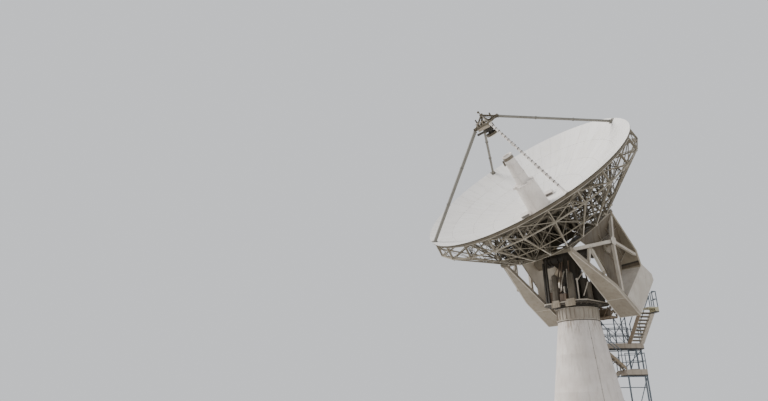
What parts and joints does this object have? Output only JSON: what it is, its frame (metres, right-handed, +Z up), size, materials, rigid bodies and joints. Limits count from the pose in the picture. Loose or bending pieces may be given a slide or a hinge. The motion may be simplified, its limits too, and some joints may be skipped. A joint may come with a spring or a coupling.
{
  "type": "radio telescope dish",
  "caption": "Steerable parabolic dish on a conical steel pedestal, with a lattice back structure, counterweight wings, a feed tower, a subreflector on legs and an access stair.",
  "frame": {"origin": "on the ground, at the centre of the pedestal's base, under the azimuth axis", "axes": "+Z up along the azimuth axis, +X along the elevation axis towards the wing on the stair's side, -Y the way the dish faces"},
  "size_m": [15, 16.6936, 21.2386],
  "materials": {
    "reflector": "matt white paint",
    "leg_paint": "grey white paint",
    "lattice": "dirty off-white paint",
    "pedestal": "matt white paint",
    "wing": "stained white paint",
    "counterweight": "stained white paint",
    "machine": "greasy weathered paint",
    "stair": "weathered paint"
  },
  "bodies": {
    "pedestal": {"pedestal_foot": "pedestal", "pedestal_cone": "pedestal", "pedestal_band": "pedestal", "azimuth_bearing": "machine", "lower_flight": "stair", "low_landing": "stair", "middle_flight": "stair", "mid_landing": "stair", "upper_flight": "stair", "top_landing": "stair", "stair_frame_far": "stair", "stair_frame_near": "stair", "stair_frame_upper": "stair"},
    "turret": {"turntable": "machine", "turret_deck": "wing", "turret_yoke": "machine", "azimuth_drive_left": "machine", "elevation_drive_left": "machine", "azimuth_drive_right": "machine", "elevation_drive_right": "machine", "turret_platform": "stair"},
    "dish": {"reflector_sector_1": "reflector", "reflector_sector_2": "reflector", "reflector_sector_3": "reflector", "reflector_sector_4": "reflector", "reflector_sector_5": "reflector", "reflector_sector_6": "reflector", "back_truss_1": "lattice", "back_truss_2": "lattice", "back_truss_3": "lattice", "back_truss_4": "lattice", "back_truss_5": "lattice", "back_truss_6": "lattice", "hub": "lattice", "elevation_frame": "lattice", "wing_right": "wing", "counterweight_right": "counterweight", "wing_left": "wing", "counterweight_left": "counterweight", "feed_tower": "reflector", "feed_horn": "reflector", "feed_leg_1": "leg_paint", "feed_leg_2": "leg_paint", "feed_leg_3": "leg_paint", "feed_leg_4": "leg_paint", "apex_frame": "lattice", "subreflector": "reflector", "subreflector_mount": "machine"}
  },
  "joints": [
    {"name": "azimuth", "type": "hinge", "parent": "pedestal", "child": "turret", "pos_m": [0, 0, 7.69], "axis": [0, 0, 1], "range_deg": [-270, 270]},
    {"name": "elevation", "type": "hinge", "parent": "turret", "child": "dish", "pos_m": [0, 0, 11.36], "axis": [-1, 0, 0], "range_deg": [-40.5, 44.5]}
  ]
}
